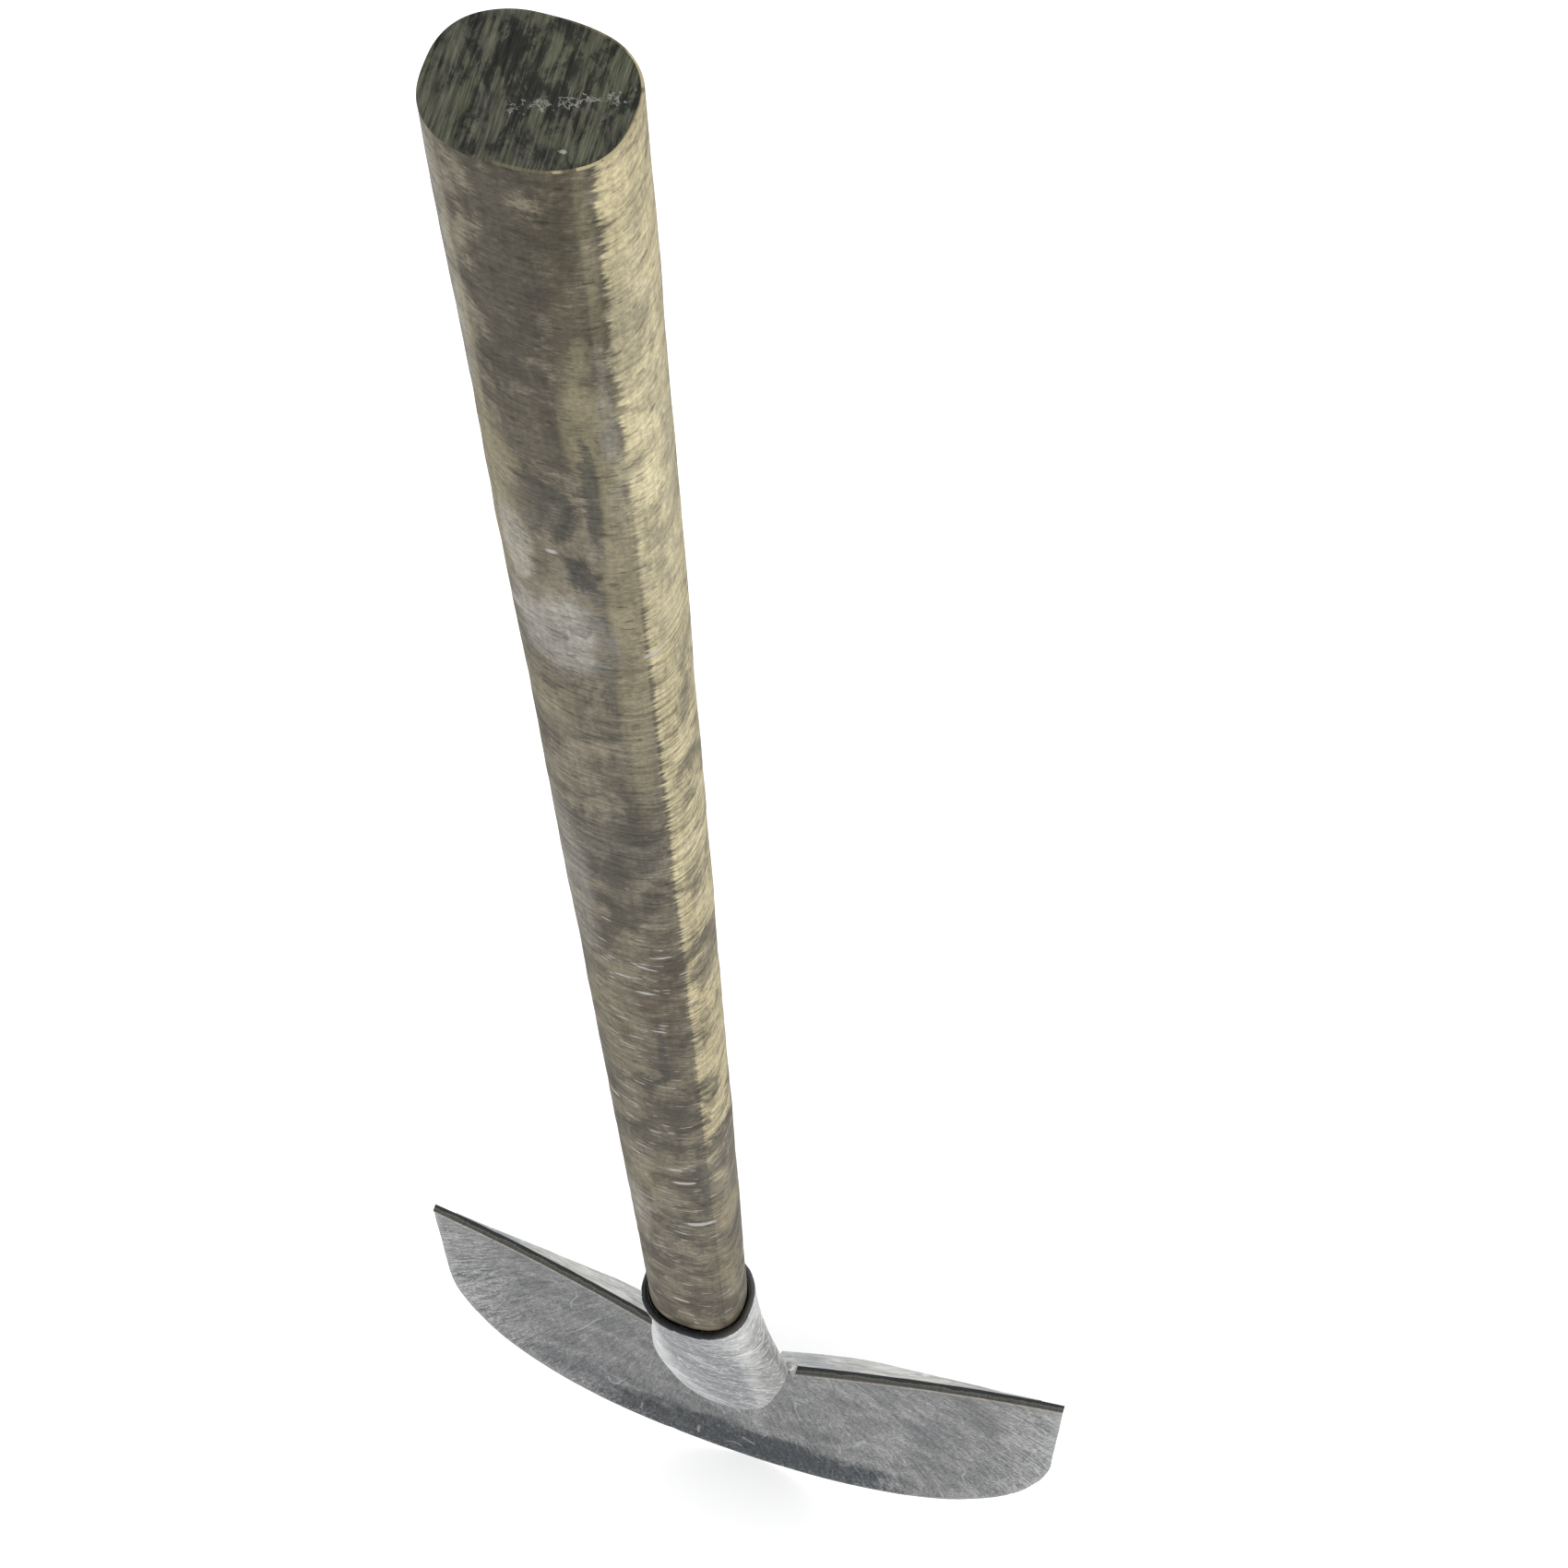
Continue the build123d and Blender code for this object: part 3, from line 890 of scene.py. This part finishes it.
def blade_material():
    g = Graph("worn_blade_steel")
    x, _, z = g.parts(g.millimetres)
    drop = g.math("SUBTRACT", 420.0, z)
    angle = g.math("ARCTAN2", x, drop)
    radius = g.math("SQRT", g.math("ADD", g.math("MULTIPLY", x, x), g.math("MULTIPLY", drop, drop)))
    flow = g.joined(g.math("MULTIPLY", angle, 300.0), radius, 0.0)
    strokes = g.noise(g.scaled(flow, (0.62, 0.050, 0.0)), 1.0, 7.0, 0.70, 0.9)
    fine = g.noise(g.scaled(flow, (1.0, 0.20, 0.0)), 1.0, 4.0, 0.70)
    cloud = g.noise(g.scaled(flow, (0.045, 0.026, 0.0)), 1.0, 8.0, 0.66, 0.8)
    speckle = g.noise(g.scaled(g.millimetres, (0.50, 0.0, 0.50)), 1.0, 4.0, 0.75)
    ragged = g.math("ADD", g.band(cloud, 0.3, 0.7, -0.7, 0.7), g.band(strokes, 0.3, 0.7, -0.3, 0.3))

    sweep = g.noise(g.scaled(flow, (0.16, 0.011, 0.0)), 1.0, 5.0, 0.65, 0.7)
    colour = g.blend(g.band(cloud, 0.36, 0.64), (0.074, 0.076, 0.079), (0.148, 0.149, 0.147))
    colour = g.tone(colour, g.band(sweep, 0.36, 0.64, 0.82, 1.18))
    for centre_x, centre_z, half_x, half_z, strength in BLADE_STAINS:
        mask = patch(g, x, z, (centre_x, centre_z), (half_x, half_z), ragged)
        colour = g.blend(g.math("MULTIPLY", mask, strength), colour, (0.026, 0.031, 0.037))
    soiled = patch(g, x, z, (0, 36), (74, 56), g.math("MULTIPLY", ragged, 0.4))
    colour = g.blend(g.math("MULTIPLY", soiled, 0.9), colour, (0.020, 0.025, 0.030))
    tips = g.band(g.math("ABSOLUTE", g.math("SUBTRACT", x, 6.0)), 100, 138, 0.0, 0.7)
    colour = g.blend(g.math("MULTIPLY", tips, g.band(strokes, 0.42, 0.58)), colour, (0.27, 0.275, 0.27))
    colour = g.tone(colour, g.band(strokes, 0.38, 0.62, 0.80, 1.20))
    colour = g.tone(colour, g.band(fine, 0.40, 0.60, 0.76, 1.24))
    colour = g.tone(colour, g.band(speckle, 0.40, 0.60, 0.62, 1.36))
    # Painted shade: the left wing is toned darker than the right.
    colour = g.tone(colour, g.band(x, -60, 60, 0.80, 1.0))
    dark = g.noise(g.scaled(flow, (0.40, 0.08, 0.0)), 1.0, 4.0, 0.65, 0.8)
    colour = g.tone(colour, g.band(dark, 0.58, 0.70, 1.0, 0.55))

    # Pale flecks gather along the lower rim, and a few long scores cross the plate.
    rim = g.attribute("rim_mm")
    fleck_field = g.noise(g.scaled(flow, (0.75, 0.42, 3.0)), 1.0, 4.0, 0.7)
    near_rim = g.band(rim, 2.0, 32.0, 0.045, 0.0)
    flecks = g.band(g.math("ADD", fleck_field, near_rim), 0.61, 0.65)
    scores = scratches(g, g.scaled(flow, (0.05, 0.009, 0.0)), 1.0, 0.013, 0.56, 0.2)
    light = g.math("MAXIMUM", g.math("MULTIPLY", flecks, 0.75), g.math("MULTIPLY", scores, 0.55))
    colour = g.blend(light, colour, (0.32, 0.33, 0.33))

    # Under the top edge: a dark band, widest in the middle; a pale line, partly wear and partly a
    # painted edge highlight; then warm brown soil.
    below_top = g.math("SUBTRACT", BLADE_TOP_MM, z)
    soil = g.math("MULTIPLY", g.band(below_top, 2.0, 12.0, 0.45, 0.0), g.band(cloud, 0.4, 0.6, 0.3, 1.0))
    colour = g.blend(soil, colour, (0.075, 0.068, 0.057))
    bevel = g.band(g.math("ABSOLUTE", x), 28, 110, 2.4, 0.3)
    past_bevel = g.math("SUBTRACT", below_top, bevel)
    dark_top_band = g.band(past_bevel, -0.3, 0.3, 1.0, 0.0)
    dark_top_band_colour = g.blend(g.band(fine, 0.4, 0.6), (0.022, 0.020, 0.016), (0.060, 0.055, 0.044))
    colour = g.blend(dark_top_band, colour, dark_top_band_colour)
    # Painted highlight in part: the pale line is partly wear and partly a painted edge highlight.
    line = g.math("MULTIPLY", g.band(past_bevel, 0.1, 0.6), g.band(past_bevel, 1.2, 3.4, 1.0, 0.0))
    line = g.math("MULTIPLY", line, g.band(strokes, 0.38, 0.58, 0.25, 0.9))
    colour = g.blend(line, colour, (0.28, 0.255, 0.22))
    polished = g.band(g.math("ADD", rim, g.band(strokes, 0.3, 0.7, -1.5, 1.5)), 0.5, 4.0, 0.5, 0.0)
    colour = g.blend(polished, colour, (0.24, 0.245, 0.24))

    # The top edge faces up and is painted dark, partly the plate's dark cut edge and partly painted
    # shade: nearly black behind and dull brown-grey in front.
    up = g.band(g.facing_up(), 0.55, 0.8)
    across = g.attribute("across")
    along = g.noise(g.scaled(g.millimetres, (0.12, 0.0, 0.0)), 1.0, 4.0, 0.6)
    split = g.math("ADD", across, g.band(along, 0.3, 0.7, -0.12, 0.12))
    top = g.blend(g.band(split, 0.40, 0.60), (0.042, 0.040, 0.033), (0.012, 0.014, 0.014))
    ridge = g.band(g.math("ABSOLUTE", g.math("SUBTRACT", split, 0.45)), 0.0, 0.14, 0.7, 0.0)
    top = g.blend(ridge, top, (0.085, 0.090, 0.080))
    top = g.tone(top, g.band(fine, 0.3, 0.7, 0.7, 1.3))
    colour = g.blend(up, colour, top)
    height_map = g.math("ADD", strokes, g.math("MULTIPLY", fine, 0.5))
    height_map = g.math("SUBTRACT", height_map, g.math("MULTIPLY", scores, 0.5))
    normal = g.bump(height_map, 0.0004, 0.4)
    rough = g.band(strokes, 0.3, 0.7, 0.66, 0.50)
    shine = g.band(soiled, 0.0, 1.0, 0.3, 0.06)
    return g.finish(colour, rough, normal, 0.2, shine)


def socket_material(name, bright, dull, dark_up=True):
    g = Graph(name)
    x, y, z = g.parts(g.millimetres)
    bowed = g.math("MULTIPLY", g.math("MULTIPLY", x, x), 0.030)
    curl = g.joined(x, y, g.math("ADD", g.math("ADD", z, bowed), g.math("MULTIPLY", x, 0.25)))
    brush = g.noise(g.scaled(curl, (0.05, 0.05, 0.26)), 1.0, 8.0, 0.74, 0.1)
    fine = g.noise(g.scaled(curl, (0.16, 0.16, 1.0)), 1.0, 4.0, 0.70)
    cloud = g.noise(g.scaled(curl, (0.045, 0.045, 0.035)), 1.0, 5.0, 0.62, 0.5)
    ragged = g.math("ADD", g.band(cloud, 0.3, 0.7, -0.5, 0.5), g.band(brush, 0.3, 0.7, -0.5, 0.5))
    colour = g.blend(g.band(cloud, 0.35, 0.65), dull, bright)
    # Painted reflection and shade: the front of the tube dark blue-grey, its sides lighter and its lower
    # right flank darker.
    leaning = g.math("ADD", x, g.math("MULTIPLY", g.math("SUBTRACT", z, 340), 0.04))
    blue = patch(g, leaning, z, (1, 338), (17.5, 150), g.math("MULTIPLY", ragged, 0.4))
    colour = g.blend(g.math("MULTIPLY", blue, 0.95), colour, (0.058, 0.066, 0.073))
    colour = g.blend(g.band(x, 13, 20, 0.0, 0.55), colour, (0.31, 0.305, 0.288))
    colour = g.blend(g.band(x, -16, -22, 0.0, 0.6), colour, (0.38, 0.38, 0.375))
    flank = g.math("MULTIPLY", g.band(x, 18, 23), g.band(z, 445, 400))
    colour = g.blend(g.math("MULTIPLY", flank, 0.75), colour, (0.078, 0.080, 0.076))
    colour = g.tone(colour, g.band(brush, 0.38, 0.62, 0.76, 1.22))
    colour = g.tone(colour, g.band(fine, 0.40, 0.60, 0.70, 1.28))
    long_marks = scratches(g, g.scaled(curl, (0.020, 0.020, 0.10)), 1.0, 0.020, 0.46, 0.5)
    tilted = g.joined(x, y, g.math("SUBTRACT", z, g.math("MULTIPLY", x, 0.9)))
    short_marks = scratches(g, g.scaled(tilted, (0.05, 0.05, 0.16)), 1.0, 0.024, 0.49, 0.4)
    steep = g.joined(x, y, g.math("ADD", z, g.math("MULTIPLY", x, 2.2)))
    crossing = scratches(g, g.scaled(steep, (0.03, 0.03, 0.07)), 1.0, 0.016, 0.50, 0.2)
    specks = g.band(g.noise(g.scaled(curl, (0.45, 0.45, 0.8)), 1.0, 2.0), 0.60, 0.63)
    marks = g.math("MAXIMUM", long_marks, short_marks)
    marks = g.math("MAXIMUM", marks, g.math("MAXIMUM", specks, crossing))
    colour = g.blend(g.math("MULTIPLY", marks, 0.7), colour, (0.56, 0.57, 0.57))
    pits = g.band(g.noise(g.scaled(curl, (0.40, 0.40, 1.1)), 1.0, 2.0), 0.64, 0.72)
    colour = g.tone(colour, g.band(pits, 0.0, 1.0, 1.0, 0.6))
    # Convex edges paler: partly polished wear, partly a painted edge highlight.
    worn = g.band(g.attribute("convex"), 0.12, 0.26, 0.0, 0.6)
    colour = g.blend(worn, colour, (0.38, 0.39, 0.385))
    rough = g.band(brush, 0.3, 0.7, 0.56, 0.42)
    if dark_up:
        # Painted shade: upward faces near the mouth are painted near black, lighter towards the right
        # where the rim is lit.
        up = g.band(g.facing_up(), 0.45, 0.7)
        near_mouth = g.band(z, MOUTH_MM - 6, MOUTH_MM - 3)
        painted_rim_shade = g.blend(g.band(fine, 0.35, 0.65), (0.003, 0.004, 0.005), (0.010, 0.011, 0.012))
        painted_rim_shade = g.blend(g.band(x, 8, 20, 0.0, 0.8), painted_rim_shade, (0.052, 0.051, 0.046))
        colour = g.blend(g.math("MULTIPLY", up, near_mouth), colour, painted_rim_shade)
    height_map = g.math("SUBTRACT", brush, g.math("MULTIPLY", marks, 0.4))
    normal = g.bump(height_map, 0.0003, 0.3)
    return g.finish(colour, rough, normal, 0.2, 0.35)


def shoulder_material():
    g = Graph("pale_shoulder_steel")
    z = g.parts(g.millimetres)[2]
    brush = g.noise(g.scaled(g.millimetres, (0.05, 0.35, 0.35)), 1.0, 7.0, 0.72, 0.3)
    fine = g.noise(g.scaled(g.millimetres, (0.25, 1.6, 1.6)), 1.0, 4.0, 0.65)
    cloud = g.noise(g.scaled(g.millimetres, (0.035, 0.06, 0.06)), 1.0, 4.0, 0.6)
    colour = g.blend(g.band(cloud, 0.36, 0.64), (0.195, 0.204, 0.208), (0.350, 0.346, 0.328))
    colour = g.tone(colour, g.band(brush, 0.36, 0.64, 0.72, 1.26))
    colour = g.tone(colour, g.band(fine, 0.36, 0.64, 0.85, 1.15))
    marks = scratches(g, g.scaled(g.millimetres, (0.03, 0.1, 0.1)), 1.0, 0.025, 0.5, 1.4)
    colour = g.blend(g.math("MULTIPLY", marks, 0.6), colour, (0.58, 0.58, 0.57))
    colour = g.blend(g.band(z, 200, 240, 0.6, 0.0), colour, (0.130, 0.130, 0.125))
    normal = g.bump(brush, 0.0003, 0.35)
    return g.finish(colour, g.band(brush, 0.3, 0.7, 0.6, 0.45), normal, 0.3, 0.4)


def weld_material():
    g = Graph("dull_weld_steel")
    grain = g.noise(g.scaled(g.millimetres, (0.6, 0.6, 0.6)), 1.0, 5.0, 0.7)
    heat = g.noise(g.scaled(g.millimetres, (0.15, 0.15, 0.15)), 1.0, 2.0)
    colour = g.blend(g.band(heat, 0.35, 0.65), (0.20, 0.198, 0.188), (0.30, 0.295, 0.28))
    colour = g.tone(colour, g.band(grain, 0.3, 0.7, 0.72, 1.25))
    normal = g.bump(grain, 0.0004, 0.5)
    return g.finish(colour, g.band(grain, 0.3, 0.7, 0.65, 0.45), normal, 0.4, 0.4)


# ---------------------------------------------------------------- stage

CAMERA_PLACE = Vector((131.97, -275.49, 1603.6)) * MM
CAMERA_RIGHT = Vector((0.9500, 0.3120, -0.0105))
CAMERA_DOWN = Vector((0.2832, -0.8754, -0.3917))
SENSOR_MM = 36.0
FOCAL_MM = 74.12
FLOOR_HALF = 12.0
WORLD_STRENGTH = 1.35
LIGHT_AIM = (0, 0, 0.5)
# Each lamp's name, place, diameter and power.
LIGHTS = [
    ("key", (1.6, -1.9, 2.4), 1.8, 26),
    ("fill", (-2.0, -1.4, 1.6), 2.4, 7),
    ("back", (0.6, 2.2, 1.8), 2.2, 12),
]


def add_camera():
    camera = bpy.data.objects.new("camera", bpy.data.cameras.new("camera"))
    bpy.context.scene.collection.objects.link(camera)
    right = CAMERA_RIGHT.normalized()
    up = (-CAMERA_DOWN - right * (-CAMERA_DOWN).dot(right)).normalized()
    back = right.cross(up)
    turn = Matrix((right, up, back)).transposed().to_4x4()
    camera.matrix_world = Matrix.Translation(CAMERA_PLACE) @ turn
    camera.data.sensor_width = SENSOR_MM
    camera.data.lens = FOCAL_MM
    camera.data.clip_start = 0.01
    camera.data.clip_end = 50
    bpy.context.scene.camera = camera


def add_light(name, place, size, power):
    light = bpy.data.lights.new(name, "AREA")
    light.shape = "DISK"
    light.size = size
    light.energy = power
    lamp = bpy.data.objects.new(name, light)
    bpy.context.scene.collection.objects.link(lamp)
    lamp.location = place
    lamp.rotation_euler = (Vector(LIGHT_AIM) - Vector(place)).to_track_quat("-Z", "Y").to_euler()


def add_floor():
    corners = [(-1, -1), (1, -1), (1, 1), (-1, 1)]
    vertices = [(FLOOR_HALF * x, FLOOR_HALF * y, 0) for x, y in corners]
    piece = make_object("floor", vertices, [(0, 1, 2, 3)])
    g = Graph("pale_floor")
    tint = g.band(g.noise(g.scaled(g.point, (3, 3, 3)), 1.0, 3.0), 0.3, 0.7, 0.93, 0.96)
    g.finish(g.joined(tint, tint, tint), 0.9, g.bump(tint, 0.0001, 0.1), 0.0, 0.1)
    piece.data.materials.append(g.material)


def add_world():
    world = bpy.data.worlds.new("studio")
    bpy.context.scene.world = world
    world.use_nodes = True
    background = world.node_tree.nodes["Background"]
    background.inputs["Color"].default_value = (1, 1, 1, 1)
    background.inputs["Strength"].default_value = WORLD_STRENGTH
    bpy.context.scene.view_settings.view_transform = "Standard"


# ---------------------------------------------------------------- assembly


SOCKET_VOXEL = 0.8 * MM
BEAD_VOXEL = 0.35 * MM
SCREW_VOXEL = 0.2 * MM
SOCKET_ROUNDS = 4
CORNER_ROUNDS = 12
BEAD_ROUNDS = 2
SCREW_ROUNDS = 1
SAWN_FACE_FROM = 0.3
SOCKET_BRIGHT = (0.285, 0.287, 0.283)
SOCKET_DULL = (0.195, 0.203, 0.210)
SCREW_BRIGHT = (0.42, 0.42, 0.42)
SCREW_DULL = (0.25, 0.25, 0.25)


def build():
    add_camera()
    add_floor()
    add_world()
    for lamp in LIGHTS:
        add_light(*lamp)

    handle = make_handle()
    finish_piece(handle, wood_material(), "handle")
    handle.data.materials.append(end_grain_material())
    ends = np.empty(len(handle.data.vertices), np.float32)
    handle.data.attributes["sawn_end"].data.foreach_get("value", ends)
    for face in handle.data.polygons:
        if min(ends[v] for v in face.vertices) > SAWN_FACE_FROM:
            face.material_index = 1

    finish_piece(make_blade(), blade_material(), "blade")

    bright_steel = socket_material("brushed_socket_steel", SOCKET_BRIGHT, SOCKET_DULL)
    socket = forged_copy("socket", "forged_socket", SOCKET_VOXEL, SOCKET_ROUNDS, socket_relief)
    finish_piece(socket, bright_steel, "socket")

    pale = shoulder_material()
    finish_piece(make_shoulder(1), pale, "right_shoulder")
    finish_piece(make_shoulder(-1), pale, "left_shoulder")

    weld = weld_material()
    beads = [
        ("tongue_weld", "tongue_bead", BEAD_ROUNDS, weld_relief, weld),
        ("corner_welds", "corner_beads", CORNER_ROUNDS, socket_relief, pale),
        ("shoulder_welds", "shoulder_beads", BEAD_ROUNDS, weld_relief, weld),
    ]
    for node, name, rounds, relief, steel in beads:
        bead = forged_copy(node, name, BEAD_VOXEL, rounds, relief)
        finish_piece(bead, steel, node)

    screw_steel = socket_material("screw_steel", SCREW_BRIGHT, SCREW_DULL, False)
    screw = forged_copy("retaining_screw", "slotted_screw", SCREW_VOXEL, SCREW_ROUNDS, screw_relief)
    finish_piece(screw, screw_steel, "retaining_screw")


build()
